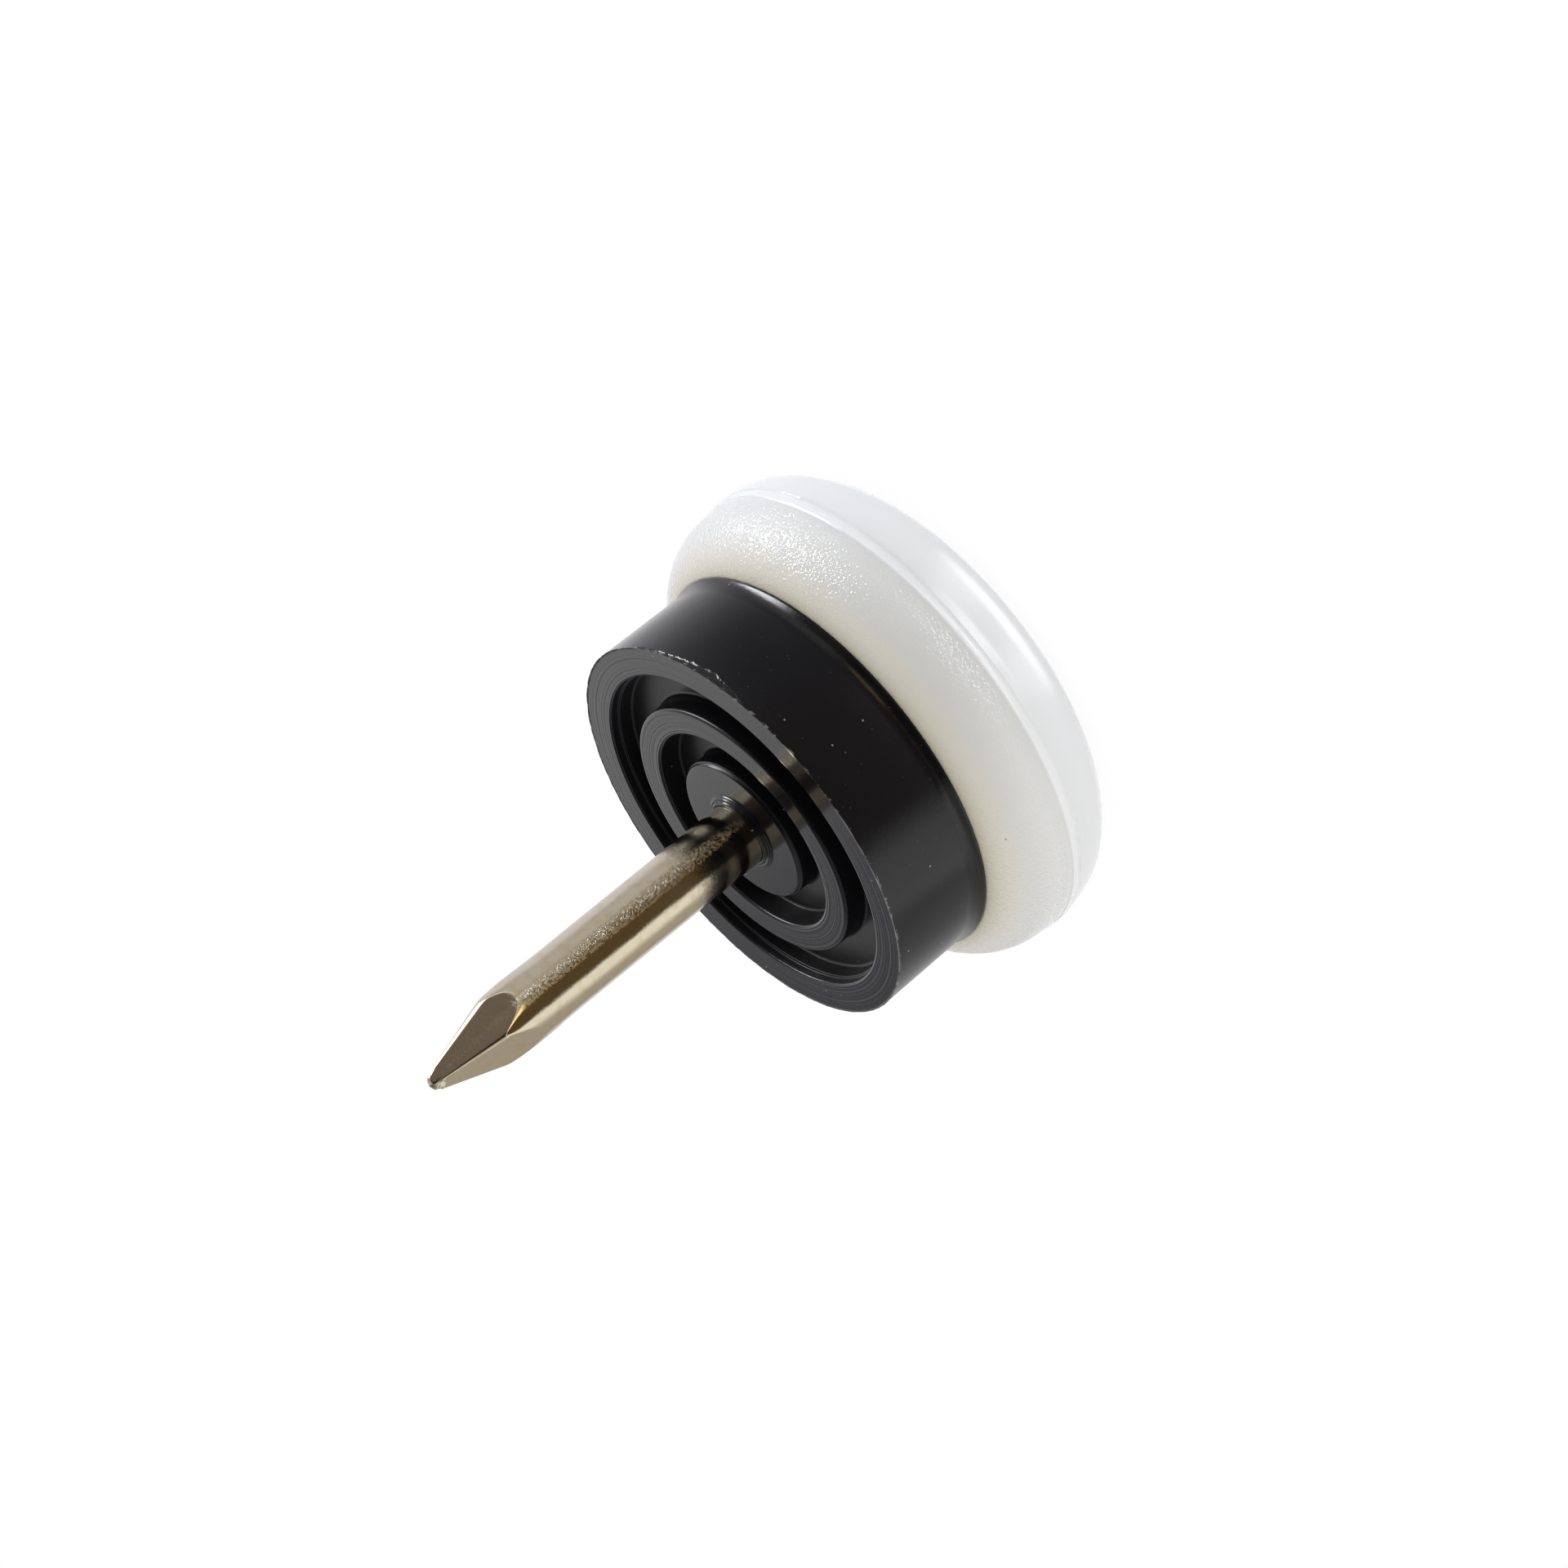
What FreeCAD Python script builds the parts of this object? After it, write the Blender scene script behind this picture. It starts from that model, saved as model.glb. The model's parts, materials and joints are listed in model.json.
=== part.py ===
import FreeCAD, Part
import math
import os

# Nail-on furniture glide: a wire nail, a black cushioning insert and a white gliding base.
# Millimetres. The axis is +Z with the nail pointing up, and the origin lies on the floor.
# Sizes run outwards from the nail and upwards from the floor.

# Nail
nail_diameter = 3.1
nail_proud = 19.0
point_length = 5.35
tip_width = 0.54
head_diameter = 7.0
head_thickness = 1.2
head_edge_bevel = 0.2
neck_swell = 0.2

# Insert, seen from above: boss, groove, ring, groove and rim, all with level faces
insert_height = 5.35
boss_diameter = 7.34
inner_groove_width = 1.56
ring_width = 1.38
outer_groove_width = 1.69
rim_width = 1.53
groove_depth = 1.2
boss_edge_bevel = 0.18
ring_inner_edge_bevel = 0.22
ring_outer_edge_bevel = 0.1
rim_inner_edge_bevel = 0.18
rim_outer_edge_bevel = 0.08
ledge_depth = 0.45
ledge_width = 0.12
lip_width = 0.4
lip_height = 0.24
lip_crest = 0.12

# Insert, seen from the side: a slightly tapered wall that flares out to a thin flange
wall_taper = 0.07
flare_height = 1.1
flare_reach = 0.22
flare_radius = 2.8
flange_edge = 0.12

# Insert, inside the base: a plug with a snap ridge
plug_length = 4.25
plug_setback = 1.86
plug_chamfer = 0.45
ridge_height = 0.35
ridge_half_length = 0.6
ridge_drop = 1.9
ridge_bevel = 0.12

# Base
base_floor = 3.0
shoulder_width = 1.9
seat_margin = 0.06
shoulder_slope = 24.0
shoulder_radius = 3.0
wall_draft = 4.2
parting_height = 3.45
land_height = 0.48
lower_step = 0.06
lower_edge_radius = 3.4
pocket_mouth_chamfer = 0.3

# Clearances
nail_clearance = 0.02
head_clearance = 0.1
plug_clearance = 0.05
plug_floor_gap = 0.1

# Heights that several pieces share
head_top = base_floor + head_thickness
plug_bottom = base_floor + plug_floor_gap
seat_height = plug_bottom + plug_length
ridge_height_up = seat_height - ridge_drop
glide_height = seat_height + insert_height
lip_top = glide_height + lip_height
tip_height = glide_height + nail_proud

# Radii that several pieces share
nail_r = nail_diameter / 2
neck_r = nail_r + neck_swell
head_r = head_diameter / 2
boss_r = boss_diameter / 2
ring_inner_r = boss_r + inner_groove_width
ring_outer_r = ring_inner_r + ring_width
ledge_r = ring_outer_r + outer_groove_width
rim_inner_r = ledge_r + ledge_width
rim_r = rim_inner_r + rim_width
wall_foot_r = rim_r - wall_taper
flange_r = wall_foot_r + flare_reach
plug_r = flange_r - plug_setback
pocket_r = plug_r + plug_clearance
base_r = flange_r + shoulder_width


class Corner:
    """A corner of an outline at a radius and a height, left sharp, rounded or bevelled."""

    def __init__(self, radius, height, round=0, bevel=0):
        self.point = FreeCAD.Vector(radius, 0, height)
        self.round = round
        self.bevel = bevel

    def measure(self, before, after):
        """Find the directions of both sides, the half turn and how far along them the cut reaches."""
        self.back = (before.point - self.point).normalize()
        self.ahead = (after.point - self.point).normalize()
        self.half_turn = (math.pi - self.back.getAngle(self.ahead)) / 2
        self.reach = self.bevel + self.round * math.tan(self.half_turn)

    def cut(self, share):
        """The edge that replaces the corner, or none; share keeps it within its two sides."""
        length = self.reach * share
        self.start = self.point + self.back * length
        self.end = self.point + self.ahead * length
        if not length:
            return []
        if self.bevel:
            return [Part.LineSegment(self.start, self.end).toShape()]
        inset = length * math.tan(self.half_turn / 2)
        middle = self.point + (self.back + self.ahead).normalize() * inset
        return [Part.Arc(self.start, middle, self.end).toShape()]


def turned(corners):
    """The solid of a closed outline of corners, in order, turned once round the Z axis."""
    following = corners[1:] + corners[:1]
    for before, corner, after in zip(corners[-1:] + corners[:-1], corners, following):
        corner.measure(before, after)
    share = []
    for corner, after in zip(corners, following):
        side = corner.point.distanceToPoint(after.point)
        share.append(side / max(side, corner.reach + after.reach))
    edges = []
    for i, corner in enumerate(corners):
        edges += corner.cut(min(share[i - 1], share[i]))
    for corner, after in zip(corners, following):
        if corner.end.distanceToPoint(after.start) > Part.Precision.confusion():
            edges.append(Part.LineSegment(corner.end, after.start).toShape())
    face = Part.Face(Part.Wire(Part.__sortEdges__(edges)))
    return face.revolve(FreeCAD.Vector(0, 0, 0), FreeCAD.Vector(0, 0, 1), 360)


def point_facet(turn):
    """What one pinch of the point removes: all that lies outside a slanted flat at this turn about Z."""
    outside = nail_diameter
    foot = tip_height - point_length
    outline = [
        FreeCAD.Vector(tip_width / 2, -outside, tip_height),
        FreeCAD.Vector(nail_r, -outside, foot),
        FreeCAD.Vector(nail_r + outside, -outside, foot),
        FreeCAD.Vector(nail_r + outside, -outside, tip_height),
    ]
    face = Part.Face(Part.makePolygon(outline + outline[:1]))
    wedge = face.extrude(FreeCAD.Vector(0, 2 * outside, 0))
    wedge.rotate(FreeCAD.Vector(0, 0, 0), FreeCAD.Vector(0, 0, 1), turn)
    return wedge


def make_nail():
    """Wire nail: flat head, a neck that narrows up to the insert's lip, plain shank and diamond point."""
    blank = turned(
        [
            Corner(0, base_floor),
            Corner(head_r, base_floor, bevel=head_edge_bevel),
            Corner(head_r, head_top, bevel=head_edge_bevel),
            Corner(neck_r, head_top),
            Corner(nail_r, lip_top),
            Corner(nail_r, tip_height),
            Corner(0, tip_height),
        ]
    )
    return blank.cut([point_facet(turn) for turn in (0, 90, 180, 270)]).Solids[0]


def make_insert():
    """Black insert: ringed top, flared wall, and a plug whose snap ridge and counterbore are hidden."""
    hole_neck_r = neck_r + nail_clearance
    hole_r = nail_r + nail_clearance
    counterbore_r = head_r + head_clearance
    groove_floor = glide_height - groove_depth
    flange_top = seat_height + flange_edge
    return turned(
        [
            Corner(hole_neck_r, head_top),
            Corner(counterbore_r, head_top),
            Corner(counterbore_r, plug_bottom),
            Corner(plug_r, plug_bottom, bevel=plug_chamfer),
            Corner(plug_r, ridge_height_up - ridge_half_length),
            Corner(plug_r + ridge_height, ridge_height_up, bevel=ridge_bevel),
            Corner(plug_r, ridge_height_up + ridge_half_length),
            Corner(plug_r, seat_height),
            Corner(flange_r, seat_height),
            Corner(flange_r, flange_top),
            Corner(wall_foot_r, flange_top + flare_height / 2, round=flare_radius),
            Corner(rim_r, glide_height, bevel=rim_outer_edge_bevel),
            Corner(rim_inner_r, glide_height, bevel=rim_inner_edge_bevel),
            Corner(rim_inner_r, glide_height - ledge_depth),
            Corner(ledge_r, glide_height - ledge_depth),
            Corner(ledge_r, groove_floor),
            Corner(ring_outer_r, groove_floor),
            Corner(ring_outer_r, glide_height, bevel=ring_outer_edge_bevel),
            Corner(ring_inner_r, glide_height, bevel=ring_inner_edge_bevel),
            Corner(ring_inner_r, groove_floor),
            Corner(boss_r, groove_floor),
            Corner(boss_r, glide_height, bevel=boss_edge_bevel),
            Corner(hole_r + lip_width, glide_height),
            Corner(hole_r + lip_crest, lip_top),
            Corner(hole_r, lip_top),
        ]
    )


def make_base():
    """White base: domed lower half, parting land, rounded shoulder and the pocket that holds the plug."""
    lower_r = base_r - lower_step
    land_top = parting_height + land_height
    seat_r = flange_r + seat_margin
    # The shoulder's corner is where its slope meets the drafted wall
    slope = math.tan(math.radians(shoulder_slope))
    draft = math.tan(math.radians(wall_draft))
    corner_z = (seat_height - slope * (base_r + draft * land_top - seat_r)) / (1 - slope * draft)
    corner_r = base_r - draft * (corner_z - land_top)
    return turned(
        [
            Corner(0, 0),
            Corner(lower_r, 0, round=lower_edge_radius),
            Corner(lower_r, parting_height),
            Corner(base_r, parting_height),
            Corner(base_r, land_top),
            Corner(corner_r, corner_z, round=shoulder_radius),
            Corner(seat_r, seat_height),
            Corner(pocket_r, seat_height, bevel=pocket_mouth_chamfer),
            Corner(pocket_r, ridge_height_up + ridge_half_length),
            Corner(pocket_r + ridge_height, ridge_height_up, bevel=ridge_bevel),
            Corner(pocket_r, ridge_height_up - ridge_half_length),
            Corner(pocket_r, base_floor),
            Corner(0, base_floor),
        ]
    )


pieces = {
    "nail": make_nail(),
    "cushion_insert": make_insert(),
    "glide_base": make_base(),
}
os.makedirs("parts", exist_ok=True)
for node, shape in pieces.items():
    shape.exportStep("parts/" + node + ".step")
    state = "valid" if shape.isValid() else "not valid"
    print(node, shape.ShapeType, state, round(shape.Volume, 2), "mm3")
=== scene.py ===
# %% [markdown]
# # A nail-on furniture glide
#
# This lesson dresses a foot that is hammered into the end of a chair or table leg. A wire nail stands up
# from a black ringed insert, and the insert is snapped into a white base that slides on the floor.
# The CAD model is loaded first and never changed. It gives the places and the main sizes, and every piece
# made below stands exactly where the CAD piece is.

# %% Load the CAD model
import bpy
import bmesh
import json
import math
from mathutils import Matrix, Vector, noise


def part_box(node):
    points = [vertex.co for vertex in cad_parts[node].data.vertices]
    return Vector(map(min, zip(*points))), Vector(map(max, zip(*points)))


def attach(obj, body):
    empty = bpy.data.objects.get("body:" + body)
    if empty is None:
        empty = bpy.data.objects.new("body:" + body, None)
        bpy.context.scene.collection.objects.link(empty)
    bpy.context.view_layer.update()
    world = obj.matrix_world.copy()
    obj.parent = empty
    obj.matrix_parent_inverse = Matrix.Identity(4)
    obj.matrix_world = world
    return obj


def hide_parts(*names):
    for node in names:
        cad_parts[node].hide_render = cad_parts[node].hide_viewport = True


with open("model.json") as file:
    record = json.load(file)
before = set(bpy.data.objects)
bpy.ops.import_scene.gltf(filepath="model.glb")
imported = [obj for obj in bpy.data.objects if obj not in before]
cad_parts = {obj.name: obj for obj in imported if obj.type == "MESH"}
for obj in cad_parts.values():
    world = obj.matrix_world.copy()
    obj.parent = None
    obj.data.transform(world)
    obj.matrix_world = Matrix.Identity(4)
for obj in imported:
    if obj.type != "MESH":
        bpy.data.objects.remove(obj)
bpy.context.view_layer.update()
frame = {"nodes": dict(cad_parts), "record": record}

print("CAD nodes:", sorted(frame["nodes"]))

# %% [markdown]
# ## Sizes
#
# The sizes that the CAD model holds are read from it, in millimetres. The small ones that only the eye
# needs, such as the rounding of an edge, are written beside the piece that uses them.

# %% Main sizes in millimetres
MM = 0.001
base_low, base_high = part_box("glide_base")
insert_low, insert_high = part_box("cushion_insert")
nail_low, nail_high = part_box("nail")
mounts = {mount["name"]: mount for mount in frame["record"]["mounts"]}

base_r = base_high.x / MM
seat_height = base_high.z / MM
flange_r = insert_high.x / MM
plug_bottom = insert_low.z / MM
lip_top = insert_high.z / MM
glide_height = mounts["leg_seat"]["pos_m"][2] / MM
nail_r = mounts["nail_shank"]["dims"]["r_mm"]
nail_head_r = nail_high.x / MM
nail_foot = nail_low.z / MM
tip_height = nail_high.z / MM
print(f"base {2 * base_r:.2f} wide, glide {glide_height:.2f} high, nail tip at {tip_height:.2f}")

# %% [markdown]
# ## The camera
#
# The glide was photographed from a little above, with the camera rolled so that the nail points down to
# the left. The camera is described the way a photographer would: which way it stands from the part, how
# high, how far off, how it is rolled, and the lens. The directions towards the camera and to its right
# are kept, because the lights are placed from them too.

# %% Place the camera
camera_azimuth = math.radians(-29.0)
camera_height_angle = math.radians(22.93)
camera_roll = math.radians(-129.11)
camera_distance = 400.0
camera_slide = (1.868, 2.093)

to_right = Vector((math.cos(camera_azimuth), math.sin(camera_azimuth), 0))
to_front = Vector((math.sin(camera_azimuth), -math.cos(camera_azimuth), 0))
to_top = Vector((0, 0, 1))
to_camera = to_front * math.cos(camera_height_angle) + to_top * math.sin(camera_height_angle)
level_up = to_top * math.cos(camera_height_angle) - to_front * math.sin(camera_height_angle)
picture_right = to_right * math.cos(camera_roll) + level_up * math.sin(camera_roll)
picture_up = level_up * math.cos(camera_roll) - to_right * math.sin(camera_roll)


def add_object(name, data):
    """Make an object of a camera, a curve, a mesh or a lamp and put it into the scene."""
    added = bpy.data.objects.new(name, data)
    bpy.context.collection.objects.link(added)
    return added


camera_data = bpy.data.cameras.new("camera")
camera_data.sensor_width = 36.0
camera_data.lens = 206.9
camera = add_object("camera", camera_data)
place = to_top * glide_height + to_camera * camera_distance
place += picture_right * camera_slide[0] + picture_up * camera_slide[1]
facing = Matrix((picture_right, picture_up, to_camera)).transposed().to_4x4()
camera.matrix_world = Matrix.Translation(place * MM) @ facing
bpy.context.scene.camera = camera
print("camera stands at", [round(value, 1) for value in place])

# %% [markdown]
# ## Small helpers for every node tree
#
# Colours are written as they look on a screen, as hex values, and one function turns them to the linear
# values that Blender works with. A second function adds a node, sets its options, and fills its inputs
# with a value or a link, so that each tree below reads from top to bottom. Two more start a tree.

# %% Colour and node helpers
def linear(hex_colour):
    """A hex colour as it looks on screen, turned to linear light with an alpha of 1."""
    channels = []
    for start in (1, 3, 5):
        value = int(hex_colour[start:start + 2], 16) / 255
        channels.append(value / 12.92 if value <= 0.04045 else ((value + 0.055) / 1.055) ** 2.4)
    return (*channels, 1.0)


def add_node(tree, kind, inputs=None, **options):
    """Add a node, set its options, then give each input a value or link another node's output to it."""
    node = tree.nodes.new(kind)
    for name, value in options.items():
        setattr(node, name, value)
    for name, value in (inputs or {}).items():
        if isinstance(value, bpy.types.NodeSocket):
            tree.links.new(value, node.inputs[name])
        else:
            node.inputs[name].default_value = value
    return node


def empty_tree(owner):
    """The node tree of a material or a world, emptied."""
    owner.use_nodes = True
    owner.node_tree.nodes.clear()
    return owner.node_tree


def new_material(name):
    """A material with only its output and its main shader, which are returned with its tree."""
    material = bpy.data.materials.new(name)
    tree = empty_tree(material)
    shader = add_node(tree, "ShaderNodeBsdfPrincipled")
    add_node(tree, "ShaderNodeOutputMaterial", {"Surface": shader.outputs["BSDF"]})
    return material, tree, shader


print("helpers ready")

# %% [markdown]
# Everything on this object is turned round one axis, so the materials often need to know how far a point
# is from the axis, how high it is and which way round it lies. This helper gives these three in
# millimetres and radians, from the piece's own coordinates.

# %% Millimetres round the axis
def round_the_axis(tree):
    """Sockets for a point in millimetres, its distance from the axis, its height and its turn."""
    object_place = add_node(tree, "ShaderNodeTexCoord").outputs["Object"]
    in_mm = add_node(tree, "ShaderNodeMapping", {
        "Vector": object_place, "Scale": (1 / MM,) * 3,
    }).outputs["Vector"]
    split = add_node(tree, "ShaderNodeSeparateXYZ", {"Vector": in_mm}).outputs
    level = add_node(tree, "ShaderNodeCombineXYZ", {"X": split["X"], "Y": split["Y"]}).outputs[0]
    distance = add_node(tree, "ShaderNodeVectorMath", {0: level}, operation="LENGTH").outputs["Value"]
    turn = add_node(tree, "ShaderNodeMath", {0: split["Y"], 1: split["X"]}, operation="ARCTAN2").outputs[0]
    return in_mm, distance, split["Z"], turn


print("axis helper ready")

# %% [markdown]
# ## White polyethylene
#
# The base is moulded in natural polyethylene, a waxy plastic that lets light a little way in, so its
# shadows are soft and it looks milky. The upper mould half was spark-eroded, which leaves a fine grain
# that glitters where a light is reflected. The lower half was polished, so that it slides.
# Subsurface scattering gives the milky look. The gloss is a clear coat with a relief of its own, small
# bumps on the shoulder only, so that each bump throws back a point of light.

# %% White polyethylene
parting_height = 3.45
land_height = 0.48
grain_size = 0.12
bump_size = 0.165
speck_spacing = 1.9
white_plastic, tree, shader = new_material("moulded_white_polyethylene")
point, distance, height, turn = round_the_axis(tree)
above = add_node(tree, "ShaderNodeMapRange", {
    "Value": height,
    "From Min": parting_height + land_height,
    "From Max": parting_height + land_height + 0.5,
}, interpolation_type="SMOOTHSTEP").outputs["Result"]
grain = add_node(tree, "ShaderNodeTexNoise", {
    "Vector": point, "Scale": 1 / grain_size, "Detail": 3.0, "Roughness": 0.6,
}).outputs["Fac"]
grain_depth = add_node(tree, "ShaderNodeMath", {
    0: above, 1: 0.95, 2: 0.03,
}, operation="MULTIPLY_ADD").outputs[0]
bump = add_node(tree, "ShaderNodeBump", {
    "Height": grain, "Strength": grain_depth, "Distance": 0.02 * MM,
}).outputs["Normal"]
cells = add_node(tree, "ShaderNodeTexVoronoi", {"Vector": point, "Scale": 1 / bump_size}).outputs
bumps = add_node(tree, "ShaderNodeMapRange", {
    "Value": cells["Distance"], "From Min": 0.8, "From Max": 0.0,
}, interpolation_type="SMOOTHSTEP").outputs["Result"]
rough_bumps = add_node(tree, "ShaderNodeMath", {
    0: grain, 1: 0.7, 2: bumps,
}, operation="MULTIPLY_ADD").outputs[0]
skin = add_node(tree, "ShaderNodeBump", {
    "Height": rough_bumps, "Strength": grain_depth, "Distance": 0.032 * MM,
}).outputs["Normal"]
print("grain of", white_plastic.name)

# %% [markdown]
# The colour runs down the slope. Beside the insert it is a warm cream, lighter than the rest: a painted
# light that lifts the shade of the insert's wall and stands for light through the thin edge. The shoulder is
# plain white, and the land is painted a lighter, cooler white, a painted highlight. A few dark specks are
# moulded in.

# %% Colour and gloss of the white
down_slope = add_node(tree, "ShaderNodeMapRange", {
    "Value": height, "From Min": seat_height, "From Max": parting_height,
}).outputs["Result"]
# Painted light: the cream stops beside the insert are lighter than the white, to lift the shade of the
# insert's wall.
tint_with_painted_light = add_node(tree, "ShaderNodeValToRGB", {"Fac": down_slope})
tint_with_painted_light.color_ramp.elements[0].color = linear("#FAEED4")
tint_with_painted_light.color_ramp.elements[1].color = linear("#E9EAEB")
for share, tone in (
    (0.08, "#F5EEDF"),
    (0.30, "#E9E8E4"),
    (0.66, "#E8E8E6"),
    (0.86, "#E4E4E3"),
    # Painted highlight: these two stops paint the land lighter than the shoulder and the dome.
    (0.885, "#F4F5F6"),
    (0.985, "#F4F5F6"),
):
    tint_with_painted_light.color_ramp.elements.new(share).color = linear(tone)
cells = add_node(tree, "ShaderNodeTexVoronoi", {"Vector": point, "Scale": 1 / speck_spacing}).outputs
speck = add_node(tree, "ShaderNodeMath", {0: cells["Distance"], 1: 0.022}, operation="LESS_THAN").outputs[0]
colour = add_node(tree, "ShaderNodeMix", {
    0: speck, 6: tint_with_painted_light.outputs["Color"], 7: linear("#8A857B"),
}, data_type="RGBA").outputs[2]
tree.links.new(colour, shader.inputs["Base Color"])
tree.links.new(bump, shader.inputs["Normal"])
tree.links.new(skin, shader.inputs["Coat Normal"])
shader.inputs["Roughness"].default_value = 0.3
shader.inputs["Specular IOR Level"].default_value = 0.0
shader.inputs["Coat Weight"].default_value = 1.0
shader.inputs["Coat Roughness"].default_value = 0.12
shader.inputs["Coat IOR"].default_value = 1.51
shader.inputs["Subsurface Weight"].default_value = 0.8
shader.inputs["Subsurface Radius"].default_value = (1.0, 0.97, 0.92)
shader.inputs["Subsurface Scale"].default_value = 2.2 * MM
print("made", white_plastic.name)

# %% [markdown]
# ## Black plastic
#
# The insert is moulded in black plastic. Its wall comes from a fine satin mould, and its top from a mould
# that was turned on a lathe and polished, so the level faces are glossy and show faint rings.
# The rings are a noise that changes only with the distance from the axis.

# %% Black plastic
ring_spacing = 0.13
satin_size = 0.22
cloud_size = 2.6
rim_r = flange_r - 0.15
black_plastic, tree, shader = new_material("moulded_black_plastic")
point, distance, height, turn = round_the_axis(tree)
past = {}
for name, value, limit in (
    ("top", height, glide_height - 0.06),
    ("edge", height, glide_height - 0.10),
    ("upper wall", height, glide_height - 0.6),
    ("boss", distance, rim_r - 5.5),
    ("grooves", distance, rim_r - 1.5),
    ("rim", distance, rim_r - 0.06),
    ("wall", distance, rim_r + 0.045),
):
    past[name] = add_node(tree, "ShaderNodeMath", {0: value, 1: limit}, operation="GREATER_THAN").outputs[0]
ringed = add_node(tree, "ShaderNodeMath", {0: past["top"], 1: past["boss"]}, operation="MULTIPLY").outputs[0]
rings = add_node(tree, "ShaderNodeTexNoise", {
    "W": distance, "Scale": 1 / ring_spacing, "Detail": 2.0,
}, noise_dimensions="1D").outputs["Fac"]
satin = add_node(tree, "ShaderNodeTexNoise", {
    "Vector": point, "Scale": 1 / satin_size, "Detail": 2.0,
}).outputs["Fac"]
relief = add_node(tree, "ShaderNodeMix", {0: ringed, 2: satin, 3: rings}).outputs[0]
relief_depth = add_node(tree, "ShaderNodeMix", {0: past["boss"], 2: 0.12, 3: 0.7}).outputs[0]
bump = add_node(tree, "ShaderNodeBump", {
    "Height": relief, "Strength": relief_depth, "Distance": 0.006 * MM,
}).outputs["Normal"]
cloud = add_node(tree, "ShaderNodeTexNoise", {
    "Vector": point, "Scale": 1 / cloud_size, "Detail": 4.0,
}).outputs["Fac"]
wall_rough = add_node(tree, "ShaderNodeMapRange", {
    "Value": cloud, "From Min": 0.3, "From Max": 0.7, "To Min": 0.15, "To Max": 0.20,
}).outputs["Result"]
rough = add_node(tree, "ShaderNodeMix", {0: past["grooves"], 2: 0.34, 3: wall_rough}).outputs[0]
rough = add_node(tree, "ShaderNodeMix", {0: past["top"], 2: rough, 3: 0.12}).outputs[0]
print("gloss and rings of", black_plastic.name)

# %% [markdown]
# The colour is a bluish black with small changes: the turned rings are painted a touch paler, a painted
# highlight for the light that their tool marks catch, most of all on the middle ring, dust has settled in
# specks of two sizes, the edge of the rim is scuffed, and the torn film that hangs over it is paler because
# it is thin.

# %% Painted ring highlight, dust and scuffs in the black
chip_size = 0.45
dust_spacing = 1.1
fine_dust_spacing = 0.5
# Painted highlight: the turned rings are made paler in the colour, for the light that their tool marks
# catch.
painted_ring_highlight = add_node(tree, "ShaderNodeMapRange", {
    "Value": rings, "From Min": 0.5, "From Max": 0.75,
}).outputs["Result"]
off_rim = add_node(tree, "ShaderNodeMapRange", {
    "Value": distance, "From Min": rim_r - 2.5, "From Max": rim_r - 2.0, "To Min": 1.0, "To Max": 0.25,
}).outputs["Result"]
chips = add_node(tree, "ShaderNodeTexNoise", {
    "Vector": point, "Scale": 1 / chip_size, "Detail": 5.0, "Roughness": 0.7,
}).outputs["Fac"]
scuff = add_node(tree, "ShaderNodeMath", {0: chips, 1: 0.57}, operation="GREATER_THAN").outputs[0]
for factor in (ringed, off_rim):
    painted_ring_highlight = add_node(tree, "ShaderNodeMath", {0: painted_ring_highlight, 1: factor}, operation="MULTIPLY").outputs[0]
for factor in (past["rim"], past["edge"]):
    scuff = add_node(tree, "ShaderNodeMath", {0: scuff, 1: factor}, operation="MULTIPLY").outputs[0]
film = add_node(tree, "ShaderNodeMath", {
    0: past["wall"], 1: past["upper wall"],
}, operation="MULTIPLY").outputs[0]
specks = []
for spacing, size in ((fine_dust_spacing, 0.06), (dust_spacing, 0.04)):
    cells = add_node(tree, "ShaderNodeTexVoronoi", {"Vector": point, "Scale": 1 / spacing}).outputs
    speck = add_node(tree, "ShaderNodeMath", {0: cells["Distance"], 1: size}, operation="LESS_THAN")
    specks.append(speck.outputs[0])
fine_dust, dust = specks
colour = linear("#0D0C10")
for share, tone in (
    (painted_ring_highlight, "#29292C"),
    (fine_dust, "#3A3A3C"),
    (scuff, "#6E6B66"),
    (film, "#3A393D"),
    (dust, "#98938A"),
):
    colour = add_node(tree, "ShaderNodeMix", {
        0: share, 6: colour, 7: linear(tone),
    }, data_type="RGBA").outputs[2]
tree.links.new(colour, shader.inputs["Base Color"])
tree.links.new(rough, shader.inputs["Roughness"])
tree.links.new(bump, shader.inputs["Normal"])
shader.inputs["IOR"].default_value = 1.5
print("made", black_plastic.name)

# %% [markdown]
# ## Nickel-plated steel
#
# The nail is steel wire with a thin bright nickel plating. The plating is warm and mirror-like, but it was
# tumbled with other nails, so it is slightly wavy all over and pitted along one side.
# Long soft waves and fine pits in the normal break the reflections as they are broken on the real nail.

# %% Nickel-plated steel
pit_size = 0.13
wave_length = 0.9
tarnish_size = 0.5
front_turn = math.atan2(to_front.y, to_front.x)
pitted_side = front_turn + math.radians(14.0)
nickel, tree, shader = new_material("nickel_plated_steel")
point, distance, height, turn = round_the_axis(tree)
from_pitted = add_node(tree, "ShaderNodeMath", {0: turn, 1: pitted_side}, operation="SUBTRACT").outputs[0]
from_pitted = add_node(tree, "ShaderNodeMath", {
    0: from_pitted, 1: math.pi, 2: -math.pi,
}, operation="WRAP").outputs[0]
from_pitted = add_node(tree, "ShaderNodeMath", {0: from_pitted}, operation="ABSOLUTE").outputs[0]
pitted = add_node(tree, "ShaderNodeMapRange", {
    "Value": from_pitted, "From Min": 0.05, "From Max": 0.30, "To Min": 1.0, "To Max": 0.10,
}, interpolation_type="SMOOTHSTEP").outputs["Result"]
off_point = add_node(tree, "ShaderNodeMapRange", {
    "Value": height,
    "From Min": tip_height - 5.6,
    "From Max": tip_height - 4.8,
    "To Min": 1.0,
    "To Max": 0.07,
}).outputs["Result"]
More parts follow.
